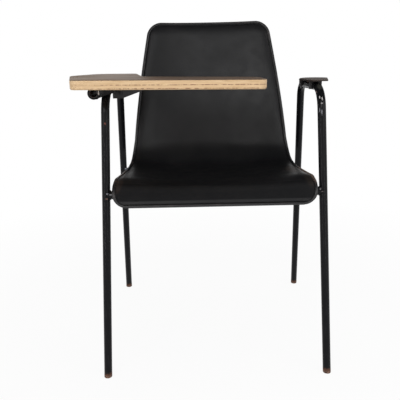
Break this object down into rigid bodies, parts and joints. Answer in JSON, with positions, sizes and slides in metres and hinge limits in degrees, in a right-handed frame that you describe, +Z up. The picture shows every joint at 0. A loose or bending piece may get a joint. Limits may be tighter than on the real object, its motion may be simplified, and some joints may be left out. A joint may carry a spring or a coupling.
{
  "type": "tablet arm lecture chair",
  "caption": "Lecture chair with a moulded padded shell seat on a bent steel tube frame, a fixed side arm and a hinged plywood writing tablet that lifts up and outward.",
  "frame": {"origin": "on the floor, under the middle of the whole chair's outline, tablet included", "axes": "+Z up, +Y from the front of the chair to its back, +X to the right as seen from the front, so the tablet is at -X"},
  "size_m": [0.6278, 0.6226, 0.8447],
  "materials": {
    "black_paint": "gloss black enamel, chipped and rusty at the leg ends",
    "zinc_steel": "dull zinc-plated steel",
    "shell_plastic": "black moulded plastic",
    "leatherette": "black satin leatherette",
    "plywood": "clear varnished plywood edge",
    "laminate": "worn grey-brown laminate",
    "arm_laminate": "brown-grey pressed board"
  },
  "bodies": {
    "chair": {"writing_side_frame": "black_paint", "plain_side_frame": "black_paint", "leg_end_caps": "black_paint", "front_cross_tube": "black_paint", "rear_cross_tube": "black_paint", "seat_shell": "shell_plastic", "seat_pad": "leatherette", "seat_mount_blocks": "shell_plastic", "front_seat_brackets": "black_paint", "rear_seat_brackets": "black_paint", "seat_screws": "zinc_steel", "seat_washers": "zinc_steel", "arm_pad_strip": "black_paint", "arm_pad": "arm_laminate", "arm_pad_rivets": "zinc_steel", "hinge_pivot_tube": "zinc_steel", "hinge_lugs": "black_paint", "tablet_rest_bracket": "black_paint"},
    "tablet": {"front_hinge_sleeve": "black_paint", "rear_hinge_sleeve": "black_paint", "front_tablet_bracket": "black_paint", "rear_tablet_bracket": "black_paint", "tablet_board": "plywood", "tablet_laminate": "laminate", "tablet_screws": "zinc_steel"}
  },
  "joints": [
    {"name": "tablet_fold", "type": "hinge", "parent": "chair", "child": "tablet", "pos_m": [-0.24152, -0.05626, 0.6726], "axis": [0, -1, 0], "range_deg": [0, 112]}
  ]
}
